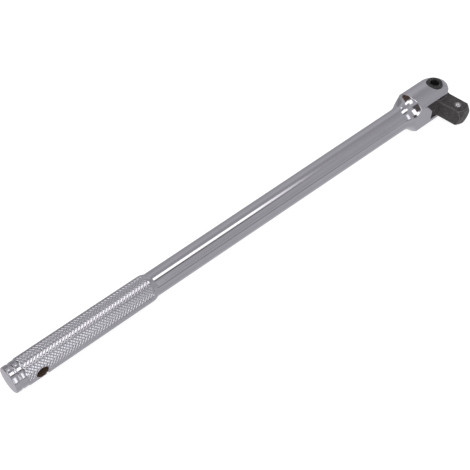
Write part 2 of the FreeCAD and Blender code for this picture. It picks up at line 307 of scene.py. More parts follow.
def grip_end_band():
    """The plain band at the end of the grip: eased end, turned groove, two flat lands with eased edges."""
    middle = GRIP_END_X + GROOVE_FROM_END
    half = GROOVE_WIDTH / 2
    end_round = 0.8
    stations = [(GRIP_END_X, POLE), (GRIP_END_X, BAND_RADIUS - end_round)]
    stations += arc((GRIP_END_X + end_round, BAND_RADIUS - end_round), end_round, 180, 90, 6)[1:]
    stations += [
        (middle - half - 0.25, BAND_RADIUS),
        (middle - half - 0.05, BAND_RADIUS - 0.05),
        (middle - half + 0.15, BAND_RADIUS - GROOVE_DEPTH + 0.05),
        (middle - half + 0.35, BAND_RADIUS - GROOVE_DEPTH),
        (middle + half - 0.35, BAND_RADIUS - GROOVE_DEPTH),
        (middle + half - 0.15, BAND_RADIUS - GROOVE_DEPTH + 0.05),
        (middle + half + 0.05, BAND_RADIUS - 0.05),
        (middle + half + 0.25, BAND_RADIUS),
        (KNURL_START_X - 0.5, BAND_RADIUS),
        (KNURL_START_X - 0.2, BAND_RADIUS - 0.08),
        (KNURL_START_X + 0.2, BAND_RADIUS - 0.2),
        (KNURL_START_X + 0.2, POLE),
    ]
    return turned("grip_end_band", stations)


def knurl_cell():
    """One diamond of the knurl: groove floor, flank, eased shoulder and crest."""
    half_turn = math.pi / KNURL_ROUND
    floor_radius = GRIP_RADIUS - KNURL_DEPTH
    half_length = KNURL_LENGTH / KNURL_ROWS / 2
    half_width = floor_radius * math.sin(half_turn)
    side_drop = floor_radius * (1 - math.cos(half_turn))
    clear_selection()
    bpy.ops.mesh.primitive_circle_add(vertices=4, radius=1, fill_type="NGON", location=(0, 0, floor_radius))
    cell = name_new("grip_knurl")
    open_mesh(cell)
    bpy.ops.transform.resize(value=(half_length, half_width, 1), center_override=(0, 0, floor_radius))
    pick_points(cell, lambda place: abs(place.y) > half_width / 2)
    bpy.ops.transform.translate(value=(0, 0, -side_drop))
    bpy.ops.mesh.select_all(action="SELECT")
    bpy.ops.mesh.normals_make_consistent(inside=False)
    for inward, upward in KNURL_STEPS:
        bpy.ops.mesh.inset(thickness=inward, depth=upward, use_boundary=True)
    close_mesh()
    return cell


def repeated(piece, count, step=None, turner=None):
    """Repeats a piece along a step, or turned about X by an empty, and merges the seams."""
    take(piece)
    repeat = piece.modifiers.new("repeat", "ARRAY")
    repeat.count = count
    repeat.use_relative_offset = False
    repeat.use_merge_vertices = True
    repeat.merge_threshold = KNURL_SEAM
    if turner:
        repeat.use_object_offset = True
        repeat.offset_object = turner
    else:
        repeat.use_constant_offset = True
        repeat.constant_offset_displace = step
    bpy.ops.object.modifier_apply(modifier=repeat.name)
    return piece


def hang_hole_drill():
    """The drill for the hanging hole, with a slight countersink at both mouths."""
    sink = 3.0
    drill = turned("hang_hole_drill", [
        (-HANG_HOLE_MOUTH - sink, HANG_HOLE_RADIUS + sink), (-HANG_HOLE_MOUTH, HANG_HOLE_RADIUS),
        (HANG_HOLE_MOUTH, HANG_HOLE_RADIUS), (HANG_HOLE_MOUTH + sink, HANG_HOLE_RADIUS + sink)], 96)
    drill.rotation_euler = (0, 0, math.pi / 2)
    drill.location = (HANG_HOLE_X, 0, 0)
    take(drill)
    bpy.ops.object.transform_apply()
    return drill


def grip_knurl():
    """The diamond knurl: one cell is turned round the grip, staggered, and repeated along it."""
    pitch = KNURL_LENGTH / KNURL_ROWS
    turner = bpy.data.objects.new("turner", None)
    bpy.context.collection.objects.link(turner)
    turner.rotation_euler = (2 * math.pi / KNURL_ROUND, 0, 0)
    bpy.context.view_layer.update()
    grip = repeated(knurl_cell(), KNURL_ROUND, turner=turner)
    bpy.data.objects.remove(turner)
    take(grip)
    bpy.ops.object.duplicate()
    stagger = bpy.context.object
    stagger.rotation_euler = (math.pi / KNURL_ROUND, 0, 0)
    stagger.location = (pitch / 2, 0, 0)
    bpy.ops.object.transform_apply()
    grip.select_set(True)
    bpy.context.view_layer.objects.active = grip
    bpy.ops.object.join()
    grip.location = (KNURL_START_X - pitch, 0, 0)
    bpy.ops.object.transform_apply()
    grip = repeated(grip, KNURL_ROWS + 2, step=(pitch, 0, 0))
    open_mesh(grip)
    bpy.ops.mesh.remove_doubles(threshold=KNURL_SEAM)
    for x, start in ((KNURL_START_X, True), (KNURL_END_X, False)):
        bpy.ops.mesh.select_all(action="SELECT")
        bpy.ops.mesh.bisect(plane_co=(x, 0, 0), plane_no=(1, 0, 0), use_fill=True,
                            clear_inner=start, clear_outer=not start)
    bpy.ops.mesh.select_all(action="SELECT")
    bpy.ops.mesh.normals_make_consistent(inside=False)
    close_mesh()
    run_out = 0.7
    clear = 0.05
    past = 1
    rough = GRIP_RADIUS - KNURL_DEPTH - clear
    full = GRIP_RADIUS + clear
    shoulder = GRIP_RADIUS - 0.12
    sleeve = turned("knurl_sleeve", [
        (KNURL_START_X - past, rough), (KNURL_START_X, rough), (KNURL_START_X + run_out, full),
        (KNURL_END_X - run_out, full), (KNURL_END_X, shoulder), (KNURL_END_X + past, shoulder)])
    combine(grip, sleeve, "INTERSECT")
    combine(grip, hang_hole_drill(), "DIFFERENCE")
    return grip


def grip_neck():
    """The plain neck: it rounds over from the knurl and sweeps down to the shank."""
    steps = 14
    top = GRIP_RADIUS - 0.1
    fall = top - SHANK_SMALL_RADIUS
    round_length = 0.6
    stations = [(KNURL_END_X - 0.3, POLE), (KNURL_END_X - 0.3, top - 0.3), (KNURL_END_X, top)]
    sweep = NECK_LENGTH - round_length
    for number in range(steps + 1):
        share = number / steps
        radius = SHANK_SMALL_RADIUS + fall * (1 + math.cos(math.pi * share)) / 2
        stations.append((KNURL_END_X + round_length + sweep * share, radius))
    stations.append((SHANK_START_X + JOIN, SHANK_SMALL_RADIUS))
    stations.append((SHANK_START_X + JOIN, POLE))
    return turned("grip_neck", stations)


# ---------------------------------------------------------------- handle: shank and fork

def shank_radius(x):
    """The slightly tapered shank's radius at a place along the handle."""
    share = (x - SHANK_START_X) / (FLARE_START_X - SHANK_START_X)
    return SHANK_SMALL_RADIUS + (SHANK_LARGE_RADIUS - SHANK_SMALL_RADIUS) * share


def handle_shank():
    """The plain tapered shank between the neck and the fork."""
    start = SHANK_START_X + JOIN
    spans = 10
    stations = [(start, POLE)]
    for number in range(spans + 1):
        x = start + (FORK_SEAM_X - start) * number / spans
        stations.append((x, shank_radius(x)))
    stations.append((FORK_SEAM_X, POLE))
    return turned("handle_shank", stations)


def fork_blank():
    """The turned head of the handle: flare, rim, round body and domed end."""
    rise = FORK_RADIUS - SHANK_LARGE_RADIUS
    run = FLARE_RIM_X - FLARE_START_X
    flare_radius = (run ** 2 + rise ** 2) / (2 * rise)
    sweep = math.degrees(math.asin(run / flare_radius))
    start = FORK_SEAM_X - 2.0
    stations = [(start, POLE), (start, shank_radius(start))]
    stations += arc((FLARE_START_X, SHANK_LARGE_RADIUS + flare_radius), flare_radius, -90, -90 + sweep, 24)
    dome_sink = DOME_RADIUS - FORK_RADIUS
    tip = math.degrees(math.asin(dome_sink / DOME_RADIUS)) + 0.1
    stations += arc((DOME_START_X, -dome_sink), DOME_RADIUS, 90, tip, 40)
    return turned("handle_fork", stations, 256)


def fork_prism():
    """The outline of the ears seen along the pivot: two flats and a full-radius end."""
    clear_selection()
    bpy.ops.mesh.primitive_circle_add(vertices=256, radius=FORK_HALF_WIDTH, fill_type="NOTHING",
                                      location=(EAR_END_X, 0, -FORK_RADIUS - REACH))
    prism = name_new("fork_prism")
    open_mesh(prism)
    pick_points(prism, lambda place: place.x < EAR_END_X - 0.01)
    bpy.ops.mesh.delete(type="VERT")
    pick_points(prism, lambda place: place.x < EAR_END_X + 0.01)
    bpy.ops.mesh.extrude_vertices_move(TRANSFORM_OT_translate={"value": (FORK_SEAM_X - REACH, 0, 0)})
    bpy.ops.mesh.select_all(action="SELECT")
    bpy.ops.mesh.edge_face_add()
    bpy.ops.mesh.extrude_region_move(TRANSFORM_OT_translate={"value": (0, 0, 2 * (FORK_RADIUS + REACH))})
    bpy.ops.mesh.select_all(action="SELECT")
    bpy.ops.mesh.normals_make_consistent(inside=False)
    close_mesh()
    return prism


def handle_fork():
    """The forked head, milled from its turned blank and polished."""
    above = FORK_RADIUS + REACH
    slot_middle = SLOT_FLOOR_X + SLOT_CUTTER_RADIUS
    fork = combine(fork_blank(), fork_prism(), "INTERSECT")
    slot = stand_up(turned("slot_cutter", [
        (-HALF_SLOT, SLOT_CUTTER_RADIUS), (HALF_SLOT, SLOT_CUTTER_RADIUS)], 360))
    slot.location = (slot_middle, 0, 0)
    take(slot)
    bpy.ops.object.transform_apply()
    combine(fork, slot, "DIFFERENCE")
    screw_hole = stand_up(turned("screw_drill", [
        (-above, TAPPED_HOLE_RADIUS), (0, TAPPED_HOLE_RADIUS), (0, JOURNAL_HOLE_RADIUS),
        (SCREW_HEAD_SEAT_Z, JOURNAL_HOLE_RADIUS), (SCREW_HEAD_SEAT_Z, HEAD_HOLE_RADIUS),
        (above, HEAD_HOLE_RADIUS)], 128))
    combine(fork, screw_hole, "DIFFERENCE")
    ball_drill = turned("ball_drill", [
        (FRICTION_BORE_END_X, FRICTION_BORE_RADIUS), (0, FRICTION_BORE_RADIUS)], 64)
    combine(fork, ball_drill, "DIFFERENCE")
    fork = ease(fork, 0.3, 4)
    open_mesh(fork, False)
    ridge_width = 2.2
    ridge_height = 8.2
    ridge_start, ridge_end = -24.0, 8.0
    pick_points(fork, lambda place: abs(abs(place.y) - FORK_HALF_WIDTH) < ridge_width
                and abs(place.z) > ridge_height and ridge_start < place.x < ridge_end)
    bpy.ops.mesh.vertices_smooth(factor=0.5, repeat=14)
    bpy.ops.mesh.select_all(action="SELECT")
    bpy.ops.mesh.bisect(plane_co=(FORK_SEAM_X, 0, 0), plane_no=(1, 0, 0), use_fill=True, clear_inner=True)
    close_mesh()
    return fork


# ---------------------------------------------------------------- pivot screw

def pivot_screw():
    """The socket-head screw that the drive turns on."""
    chamfer = 0.45
    screw = stand_up(turned("pivot_screw", [
        (THREAD_END_Z, POLE), (THREAD_END_Z, THREAD_RADIUS - chamfer),
        (THREAD_END_Z + chamfer, THREAD_RADIUS),
        (-HALF_SLOT, THREAD_RADIUS), (-HALF_SLOT, JOURNAL_RADIUS), (SCREW_HEAD_SEAT_Z, JOURNAL_RADIUS),
        (SCREW_HEAD_SEAT_Z, SCREW_HEAD_RADIUS), (SCREW_HEAD_TOP_Z - chamfer, SCREW_HEAD_RADIUS),
        (SCREW_HEAD_TOP_Z - chamfer / 3, SCREW_HEAD_RADIUS - chamfer / 3),
        (SCREW_HEAD_TOP_Z, SCREW_HEAD_RADIUS - chamfer), (SCREW_HEAD_TOP_Z, POLE)], 128))
    corner_radius = HEX_ACROSS_FLATS / math.sqrt(3)
    floor_z = SCREW_HEAD_TOP_Z - HEX_DEPTH
    key = stand_up(turned("hex_key", [
        (floor_z - 1.0, POLE), (floor_z, corner_radius), (SCREW_HEAD_TOP_Z - 0.3, corner_radius),
        (SCREW_HEAD_TOP_Z + 0.2, corner_radius + 0.5)], 6))
    return combine(screw, key, "DIFFERENCE")


# ---------------------------------------------------------------- drive

def drive_hub():
    """The round hub, with the raceway that the friction ball runs in."""
    hub = stand_up(turned("drive_head", [
        (-HALF_HUB, POLE), (-HALF_HUB, HUB_RADIUS - HUB_EDGE), (-HALF_HUB + HUB_EDGE, HUB_RADIUS),
        (HALF_HUB - HUB_EDGE, HUB_RADIUS), (HALF_HUB, HUB_RADIUS - HUB_EDGE), (HALF_HUB, POLE)]))
    clear_selection()
    bpy.ops.mesh.primitive_torus_add(major_radius=HUB_RADIUS - RACEWAY_DEPTH + RACEWAY_RADIUS,
                                     minor_radius=RACEWAY_RADIUS, major_segments=STEPS, minor_segments=64)
    return combine(hub, name_new("raceway_cutter"), "DIFFERENCE")


def drive_square():
    """The square, with its long edges eased and its end turned to a round face."""
    square = block("square", (0, -HALF_SQUARE, -HALF_SQUARE), (DRIVE_LENGTH, HALF_SQUARE, HALF_SQUARE))
    open_mesh(square)
    bpy.ops.mesh.select_mode(type="EDGE")
    bpy.ops.mesh.select_all(action="DESELECT")
    mesh = bmesh.from_edit_mesh(square.data)
    for edge in mesh.edges:
        edge.select = abs(edge.verts[0].co.x - edge.verts[1].co.x) > 1
    bmesh.update_edit_mesh(square.data)
    bpy.ops.mesh.bevel(offset=SQUARE_EDGE, segments=2)
    close_mesh()
    corner = HALF_SQUARE * math.sqrt(2)
    turning = turned("turning", [
        (-REACH, corner), (DRIVE_LENGTH - TURNED_END_LENGTH, corner), (DRIVE_LENGTH, END_FACE_RADIUS)], 256)
    return combine(square, turning, "INTERSECT")


def shoulder_web():
    """The web that blends the round hub into the two sides of the square."""
    centre_y = HALF_SQUARE + SHOULDER_FILLET
    centre_x = math.sqrt((HUB_RADIUS + SHOULDER_FILLET) ** 2 - centre_y ** 2)
    share = HUB_RADIUS / (HUB_RADIUS + SHOULDER_FILLET)
    web = block("web", (0, -centre_y * share, -HALF_SQUARE), (centre_x, centre_y * share, HALF_SQUARE))
    for side in (-1, 1):
        hollow = stand_up(turned("hollow", [(-REACH, SHOULDER_FILLET), (REACH, SHOULDER_FILLET)], 128))
        hollow.location = (centre_x, side * centre_y, 0)
        take(hollow)
        bpy.ops.object.transform_apply()
        combine(web, hollow, "DIFFERENCE")
    return web


def detent_drill():
    """The drill for the detent ball's bore, with the staked lip left at its mouth."""
    drill = stand_up(turned("detent_drill", [
        (HALF_SQUARE - DETENT_BORE_DEPTH, DETENT_BORE_RADIUS),
        (HALF_SQUARE - DETENT_LIP_DEPTH, DETENT_BORE_RADIUS),
        (HALF_SQUARE, DETENT_LIP_RADIUS), (HALF_SQUARE + 1, DETENT_LIP_RADIUS)], 96))
    drill.location = (DETENT_FROM_PIVOT, 0, 0)
    take(drill)
    bpy.ops.object.transform_apply()
    return drill


def drive_head():
    """The drive: hub and square in one forging, bored for the screw and the detent ball."""
    head = combine(drive_hub(), shoulder_web(), "UNION")
    combine(head, drive_square(), "UNION")
    journal = stand_up(turned("journal_drill", [
        (-REACH, JOURNAL_HOLE_RADIUS), (REACH, JOURNAL_HOLE_RADIUS)], 128))
    combine(head, journal, "DIFFERENCE")
    combine(head, detent_drill(), "DIFFERENCE")
    return ease(head, 0.22, 2)


# ---------------------------------------------------------------- materials

def new_material(name):
    """A material with its shader, its output and the piece's own coordinates."""
    material = bpy.data.materials.new(name)
    material.use_nodes = True
    nodes = material.node_tree.nodes
    nodes.clear()
    shader = nodes.new("ShaderNodeBsdfPrincipled")
    output = nodes.new("ShaderNodeOutputMaterial")
    place = nodes.new("ShaderNodeTexCoord")
    material.node_tree.links.new(shader.outputs["BSDF"], output.inputs["Surface"])
    return material, nodes, material.node_tree.links, shader, place.outputs["Object"]


def new_effect(name, inputs, outputs):
    """A shared effect: a node group with named inputs and outputs."""
    tree = bpy.data.node_groups.new(name, "ShaderNodeTree")
    for label, kind, value in inputs:
        socket = tree.interface.new_socket(name=label, in_out="INPUT", socket_type=kind)
        if value is not None:
            socket.default_value = value
    for label, kind in outputs:
        tree.interface.new_socket(name=label, in_out="OUTPUT", socket_type=kind)
    way_in = tree.nodes.new("NodeGroupInput")
    way_out = tree.nodes.new("NodeGroupOutput")
    return tree, tree.nodes, tree.links, way_in, way_out


def placed_effect(nodes, links, effect, place, values):
    """Puts a shared effect into a material with its own values."""
    node = nodes.new("ShaderNodeGroup")
    node.node_tree = effect
    links.new(place, node.inputs["Place"])
    for label, value in values.items():
        node.inputs[label].default_value = value
    return node


def noise(nodes, links, place, scale, detail=2.0, roughness=0.5):
    """Soft noise at a scale."""
    node = nodes.new("ShaderNodeTexNoise")
    node.inputs["Scale"].default_value = scale
    node.inputs["Detail"].default_value = detail
    node.inputs["Roughness"].default_value = roughness
    links.new(place, node.inputs["Vector"])
    return node


def remapped(nodes, links, value, low, high, new_low, new_high):
    """A value stretched from one range to another."""
    node = nodes.new("ShaderNodeMapRange")
    node.inputs["From Min"].default_value = low
    node.inputs["From Max"].default_value = high
    node.inputs["To Min"].default_value = new_low
    node.inputs["To Max"].default_value = new_high
    links.new(value, node.inputs["Value"])
    return node.outputs["Result"]


def blended(nodes, links, factor, first, second):
    """Two colours blended by a mask."""
    node = nodes.new("ShaderNodeMix")
    node.data_type = "RGBA"
    links.new(factor, node.inputs["Factor"])
    for socket, colour in ((node.inputs["A"], first), (node.inputs["B"], second)):
        if isinstance(colour, tuple):
            socket.default_value = colour
        else:
            links.new(colour, socket)
    return node.outputs["Result"]


def handling_effect():
    """Faint smears and specks left by handling, as a mask from 0 to 1."""
    tree, nodes, links, way_in, way_out = new_effect(
        "handling", [("Place", "NodeSocketVector", None), ("Scale", "NodeSocketFloat", 60.0)],
        [("Mask", "NodeSocketFloat")])
    smears = nodes.new("ShaderNodeTexNoise")
    smears.inputs["Detail"].default_value = 4.0
    smears.inputs["Distortion"].default_value = 0.6
    links.new(way_in.outputs["Place"], smears.inputs["Vector"])
    links.new(way_in.outputs["Scale"], smears.inputs["Scale"])
    specks = noise(nodes, links, way_in.outputs["Place"], 2400.0, 1.0)
    both = nodes.new("ShaderNodeMath")
    both.operation = "MULTIPLY_ADD"
    both.inputs[1].default_value = 0.35
    links.new(specks.outputs["Fac"], both.inputs[0])
    links.new(smears.outputs["Fac"], both.inputs[2])
    mask = remapped(nodes, links, both.outputs["Value"], 0.45, 0.95, 0.0, 1.0)
    links.new(mask, way_out.inputs["Mask"])
    return tree


def edge_wear_effect():
    """Where edges are rubbed: 1 on worn corners, 0 on faces, broken up by noise; a second mask is 1 in hollows and
    0 on flat and rounded faces.
    """
    tree, nodes, links, way_in, way_out = new_effect(
        "edge_wear", [("Place", "NodeSocketVector", None), ("Start", "NodeSocketFloat", 0.52),
                      ("Full", "NodeSocketFloat", 0.62)],
        [("Mask", "NodeSocketFloat"), ("Hollow", "NodeSocketFloat")])
    shape = nodes.new("ShaderNodeNewGeometry")
    broken = noise(nodes, links, way_in.outputs["Place"], 900.0, 3.0)
    spread = nodes.new("ShaderNodeMath")
    spread.operation = "MULTIPLY_ADD"
    spread.inputs[1].default_value = 0.06
    links.new(broken.outputs["Fac"], spread.inputs[0])
    links.new(shape.outputs["Pointiness"], spread.inputs[2])
    mask = nodes.new("ShaderNodeMapRange")
    links.new(spread.outputs["Value"], mask.inputs["Value"])
    links.new(way_in.outputs["Start"], mask.inputs["From Min"])
    links.new(way_in.outputs["Full"], mask.inputs["From Max"])
    links.new(mask.outputs["Result"], way_out.inputs["Mask"])
    hollow = remapped(nodes, links, shape.outputs["Pointiness"], 0.40, 0.50, 1.0, 0.0)
    links.new(hollow, way_out.inputs["Hollow"])
    return tree


def tool_marks_effect():
    """Fine parallel marks left by turning or milling, as a height, in rings about one direction."""
    tree, nodes, links, way_in, way_out = new_effect(
        "tool_marks", [("Place", "NodeSocketVector", None), ("Stretch", "NodeSocketVector", (1.0, 1.0, 1.0))],
        [("Height", "NodeSocketFloat")])
    stretch = nodes.new("ShaderNodeVectorMath")
    stretch.operation = "MULTIPLY"
    links.new(way_in.outputs["Place"], stretch.inputs[0])
    links.new(way_in.outputs["Stretch"], stretch.inputs[1])
    marks = noise(nodes, links, stretch.outputs["Vector"], 1.0, 3.0, 0.7)
    links.new(marks.outputs["Fac"], way_out.inputs["Height"])
    return tree


HANDLING = handling_effect()
EDGE_WEAR = edge_wear_effect()
TOOL_MARKS = tool_marks_effect()


def bumped(nodes, links, shader, height, distance, strength):
    """A fine relief on the surface."""
    bump = nodes.new("ShaderNodeBump")
    bump.inputs["Distance"].default_value = distance
    bump.inputs["Strength"].default_value = strength
    links.new(height, bump.inputs["Height"])
    links.new(bump.outputs["Normal"], shader.inputs["Normal"])


def tool_frame_place(nodes, links, place, matrix):
    """The piece's own coordinates turned to run with the tool, in metres."""
    turn = nodes.new("ShaderNodeMapping")
    turn.vector_type = "TEXTURE"
    turn.inputs["Location"].default_value = matrix.translation
    turn.inputs["Rotation"].default_value = matrix.to_euler()
    links.new(place, turn.inputs["Vector"])
    return turn.outputs["Vector"]


def chrome_material(name, roughness, hollow_darkening):
    """Bright chrome plate with a faint lilac cast, light smears and fine polishing lines, darkened towards brown
    in its hollows by a given amount.
    """
    material, nodes, links, shader, place = new_material(name)
    along = tool_frame_place(nodes, links, place, TOOL)
    handling = placed_effect(nodes, links, HANDLING, along, {"Scale": 45.0})
    wear = placed_effect(nodes, links, EDGE_WEAR, along, {})
    plate = blended(nodes, links, handling.outputs["Mask"], (0.735, 0.725, 0.765, 1), (0.69, 0.68, 0.715, 1))
    # The colour is blended towards a dark brown where the surface is hollow, such as the knurl's groove floors, by
    # the given amount.
    hollow_darkened = nodes.new("ShaderNodeMath")
    hollow_darkened.operation = "MULTIPLY"
    hollow_darkened.inputs[1].default_value = hollow_darkening
    links.new(wear.outputs["Hollow"], hollow_darkened.inputs[0])
    links.new(blended(nodes, links, hollow_darkened.outputs["Value"], plate, (0.20, 0.185, 0.18, 1)),
              shader.inputs["Base Color"])
    links.new(remapped(nodes, links, handling.outputs["Mask"], 0, 1, roughness, roughness + 0.07),
              shader.inputs["Roughness"])
    shader.inputs["Metallic"].default_value = 1.0
    lines = placed_effect(nodes, links, TOOL_MARKS, along, {"Stretch": (5000.0, 90.0, 90.0)})
    bumped(nodes, links, shader, lines.outputs["Height"], 0.00001, 0.12)
    return material


def hole_wall_material():
    """The unplated, oil-darkened wall of the hanging hole."""
    material, nodes, links, shader, place = new_material("hole_wall")
    patches = noise(nodes, links, place, 700.0, 4.0)
    brown = blended(nodes, links, patches.outputs["Fac"], (0.20, 0.135, 0.100, 1), (0.075, 0.050, 0.038, 1))
    links.new(brown, shader.inputs["Base Color"])
    links.new(remapped(nodes, links, patches.outputs["Fac"], 0, 1, 0.38, 0.6), shader.inputs["Roughness"])
    shader.inputs["Metallic"].default_value = 0.35
    rings = placed_effect(nodes, links, TOOL_MARKS, tool_frame_place(nodes, links, place, TOOL),
                          {"Stretch": (300.0, 4200.0, 300.0)})
    bumped(nodes, links, shader, rings.outputs["Height"], 0.00005, 0.5)
    return material


def black_drive_material():
    """Blackened, lightly oiled steel: milling marks, rubbed edges and a little bloom."""
    material, nodes, links, shader, place = new_material("black_drive_steel")
    along = tool_frame_place(nodes, links, place, DRIVE)
    bloom = noise(nodes, links, along, 220.0, 5.0)
    handling = placed_effect(nodes, links, HANDLING, along, {"Scale": 130.0})
    wear = placed_effect(nodes, links, EDGE_WEAR, along, {"Start": 0.528, "Full": 0.575})
    black = blended(nodes, links, bloom.outputs["Fac"], (0.020, 0.018, 0.018, 1), (0.070, 0.064, 0.064, 1))
    links.new(blended(nodes, links, wear.outputs["Mask"], black, (0.20, 0.19, 0.19, 1)),
              shader.inputs["Base Color"])
    links.new(remapped(nodes, links, handling.outputs["Mask"], 0, 1, 0.36, 0.52), shader.inputs["Roughness"])
    links.new(remapped(nodes, links, wear.outputs["Mask"], 0, 1, 0.35, 0.8), shader.inputs["Metallic"])
    marks = placed_effect(nodes, links, TOOL_MARKS, along, {"Stretch": (2600.0, 180.0, 180.0)})
    bumped(nodes, links, shader, marks.outputs["Height"], 0.00009, 0.6)
    return material


def black_screw_material():
    """Black-oxide screw steel with a fine grain, a little bloom and rubbed edges."""
    material, nodes, links, shader, place = new_material("black_screw_steel")
    along = tool_frame_place(nodes, links, place, TOOL)
    bloom = noise(nodes, links, along, 600.0, 4.0)
    wear = placed_effect(nodes, links, EDGE_WEAR, along, {"Start": 0.56, "Full": 0.70})
    black = blended(nodes, links, bloom.outputs["Fac"], (0.012, 0.012, 0.012, 1), (0.030, 0.030, 0.031, 1))
    links.new(blended(nodes, links, wear.outputs["Mask"], black, (0.11, 0.11, 0.11, 1)),
              shader.inputs["Base Color"])
    links.new(remapped(nodes, links, bloom.outputs["Fac"], 0, 1, 0.30, 0.48), shader.inputs["Roughness"])
    shader.inputs["Metallic"].default_value = 0.3
    grain = noise(nodes, links, along, 3500.0, 3.0)
    bumped(nodes, links, shader, grain.outputs["Fac"], 0.00004, 0.4)
    return material


def bright_ball_material():
    """Ground bearing steel with fine scuffs."""
    material, nodes, links, shader, place = new_material("bright_ball_steel")
    handling = placed_effect(nodes, links, HANDLING, place, {"Scale": 500.0})
    links.new(blended(nodes, links, handling.outputs["Mask"], (0.80, 0.79, 0.80, 1), (0.62, 0.61, 0.62, 1)),
              shader.inputs["Base Color"])
    links.new(remapped(nodes, links, handling.outputs["Mask"], 0, 1, 0.12, 0.26), shader.inputs["Roughness"])
    shader.inputs["Metallic"].default_value = 1.0
    return material


def spring_material():
    """Drawn spring wire, slightly blued and oily."""
    material, nodes, links, shader, place = new_material("spring_wire")
    handling = placed_effect(nodes, links, HANDLING, place, {"Scale": 800.0})
    links.new(blended(nodes, links, handling.outputs["Mask"], (0.34, 0.34, 0.36, 1), (0.20, 0.19, 0.19, 1)),
              shader.inputs["Base Color"])
    links.new(remapped(nodes, links, handling.outputs["Mask"], 0, 1, 0.28, 0.45), shader.inputs["Roughness"])
    shader.inputs["Metallic"].default_value = 1.0
    return material


def coat(piece, material):
    """Gives a piece one material in place of whatever it has."""
    piece.data.materials.clear()
    piece.data.materials.append(material)


def line_hang_hole(grip, wall):
    """Puts the wall material on the faces inside the hanging hole."""
    grip.data.materials.append(wall)
    open_mesh(grip, False)
    outside = HANG_HOLE_RADIUS + 0.03
    pick_faces(grip, lambda middle, normal: math.hypot(middle.x - HANG_HOLE_X, middle.z) < outside
               and abs(middle.y) < HANG_HOLE_MOUTH)
    grip.active_material_index = 1
    bpy.ops.object.material_slot_assign()
    close_mesh()


# ---------------------------------------------------------------- the object

CHROME = chrome_material("chrome_plate", 0.07, 0.0)
# The knurl's plate is darkened towards brown in its hollows.
KNURL_CHROME = chrome_material("knurl_chrome_plate", 0.12, 0.35)
HOLE_WALL = hole_wall_material()
BLACK_DRIVE = black_drive_material()
BLACK_SCREW = black_screw_material()
BRIGHT_BALL = bright_ball_material()
SPRING_WIRE = spring_material()

band = grip_end_band()
knurl = grip_knurl()
neck = grip_neck()
shank = handle_shank()
fork = handle_fork()
screw = pivot_screw()
drive = drive_head()

for piece in (band, neck, shank, fork):
    coat(piece, CHROME)
coat(knurl, KNURL_CHROME)
line_hang_hole(knurl, HOLE_WALL)
coat(screw, BLACK_SCREW)
coat(drive, BLACK_DRIVE)

finish_piece(band, TOOL, "handle", ["handle_grip"], 40)
finish_piece(knurl, TOOL, "handle", ["handle_grip"], 22)
finish_piece(neck, TOOL, "handle", ["handle_grip"], 40)
finish_piece(shank, TOOL, "handle", ["handle_shank"], 40)
finish_piece(fork, TOOL, "handle", ["handle_fork"], 60)
finish_piece(screw, TOOL, "handle", ["pivot_screw"], 30)
finish_piece(drive, DRIVE, "drive", ["drive_head"], 60)

for node in ("detent_ball", "friction_ball"):
    coat(frame["nodes"][node], BRIGHT_BALL)
for node in ("detent_spring", "friction_spring"):
    coat(frame["nodes"][node], SPRING_WIRE)


# ---------------------------------------------------------------- studio

def studio_floor():
    """A plain pale sweep under the tool."""
    clear_selection()
    bpy.ops.mesh.primitive_plane_add(size=6.0, location=(0, 0, -0.0001))
    floor = name_new("studio_floor")
    material, nodes, links, shader, place = new_material("pale_paper")
    tooth = noise(nodes, links, place, 900.0, 2.0)
    paper = blended(nodes, links, tooth.outputs["Fac"], (0.28, 0.28, 0.28, 1), (0.30, 0.30, 0.30, 1))
    links.new(paper, shader.inputs["Base Color"])
    links.new(paper, shader.inputs["Emission Color"])
    shader.inputs["Emission Strength"].default_value = 3.0
    shader.inputs["Roughness"].default_value = 0.9
    shader.inputs["Specular IOR Level"].default_value = 0.0
    coat(floor, material)
    floor.visible_glossy = False
    return floor


# Each band of the studio that the bright metal mirrors: how high it stands round the bar, in degrees from
# level behind the bar, over the top and down in front; and its brightness. The count starts under the bar and
# ends just short of where it started.
STUDIO_SEAM = -110
STUDIO_BANDS = [
    (-110, 0.43), (-75, 0.52), (-35, 0.56), (-20, 0.46), (-5, 0.38), (22, 0.38), (45, 0.46), (62, 0.46),
    (76, 0.36), (90, 0.34), (140, 0.42), (160, 0.40), (172, 0.38), (180, 0.42), (210, 0.47), (249.9, 0.43)]


WHITE = (1.7, 1.7, 1.7)
SOFT_WHITE = (1.3, 1.3, 1.33)
GREY = (0.44, 0.44, 0.46)
DIM = (0.26, 0.26, 0.27)
SHADE = (0.20, 0.20, 0.21)
DEEP = (0.09, 0.08, 0.075)
BROWN = (0.075, 0.050, 0.040)

# Cards and strip lights: low, high and softness of the height in degrees; from, to and softness along the bar
# (as the X part of the direction, which is negative towards the grip); colour.
STRIPS = [
    (8, 45, 8, -0.15, 0.33, 0.10, DIM),
    (83, 93, 5, 0.08, 0.27, 0.06, SHADE),
    (99, 119, 5, 0.05, 0.48, 0.06, WHITE),
    (123, 131, 5, 0.05, 0.48, 0.10, DEEP),
    (107, 120, 4, -0.12, 0.10, 0.05, WHITE),
    (148, 190, 6, 0.10, 0.31, 0.08, SOFT_WHITE),
    (66, 78, 5, 0.14, 0.27, 0.05, SOFT_WHITE),
    (191, 197, 4, 0.05, 0.60, 0.10, SHADE),
    (25, 68, 6, -0.92, -0.33, 0.05, BROWN),
    (70, 84, 4, -0.56, -0.22, 0.04, WHITE),
    (77, 100, 5, -0.75, -0.52, 0.06, WHITE),
    (104, 120, 5, -0.95, -0.20, 0.05, GREY),
    (122, 172, 6, -0.97, -0.54, 0.06, DEEP),
    (142, 178, 6, -0.60, -0.34, 0.06, WHITE),
    (173, 196, 5, -0.72, -0.50, 0.06, WHITE),
    (180, 198, 5, -0.46, -0.18, 0.06, DEEP),
]


